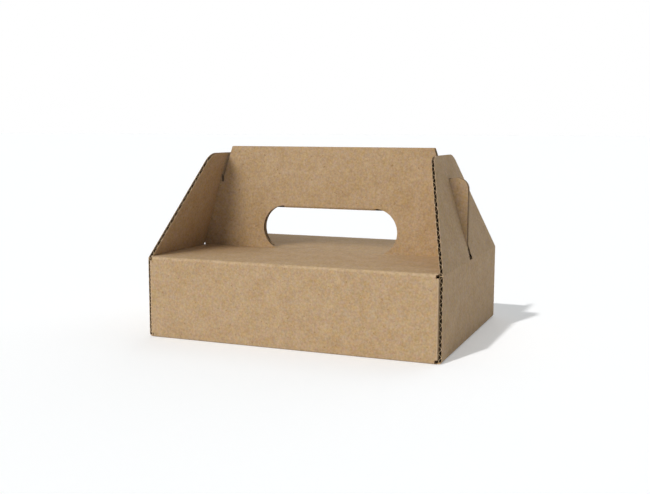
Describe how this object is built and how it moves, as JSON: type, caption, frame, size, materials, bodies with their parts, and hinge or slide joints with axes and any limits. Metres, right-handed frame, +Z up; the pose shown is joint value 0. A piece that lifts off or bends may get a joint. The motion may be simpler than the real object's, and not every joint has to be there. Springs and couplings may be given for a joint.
{
  "type": "cardboard tray box with carry handle",
  "caption": "Folded corrugated cardboard carry box: shallow closed tray with an upright handle, a hand hole and leaning end flaps locked over the handle's ears.",
  "frame": {"origin": "centre of the base, on the surface that the box stands on", "axes": "+X across the box towards the right end wall, -Y towards the front wall, +Z up"},
  "size_m": [0.26, 0.203, 0.1631],
  "materials": {
    "kraft_board": "matt brown kraft paper liners over fluting, with open flutes at the cut edges"
  },
  "bodies": {
    "carton": {"carton": "kraft_board"},
    "right_lock_flap": {"right_lock_flap": "kraft_board"},
    "left_lock_flap": {"left_lock_flap": "kraft_board"},
    "grip_flap": {"grip_flap": "kraft_board"}
  },
  "joints": [
    {"name": "right_flap_crease", "type": "hinge", "parent": "carton", "child": "right_lock_flap", "pos_m": [0.13, 0, 0.0685], "axis": [0, 1, 0], "range_deg": [0, 120]},
    {"name": "left_flap_crease", "type": "hinge", "parent": "carton", "child": "left_lock_flap", "pos_m": [-0.13, 0, 0.0685], "axis": [0, -1, 0], "range_deg": [0, 120]},
    {"name": "grip_flap_crease", "type": "hinge", "parent": "carton", "child": "grip_flap", "pos_m": [0, 0.003, 0.1076], "axis": [-1, 0, 0], "range_deg": [0, 90]}
  ]
}
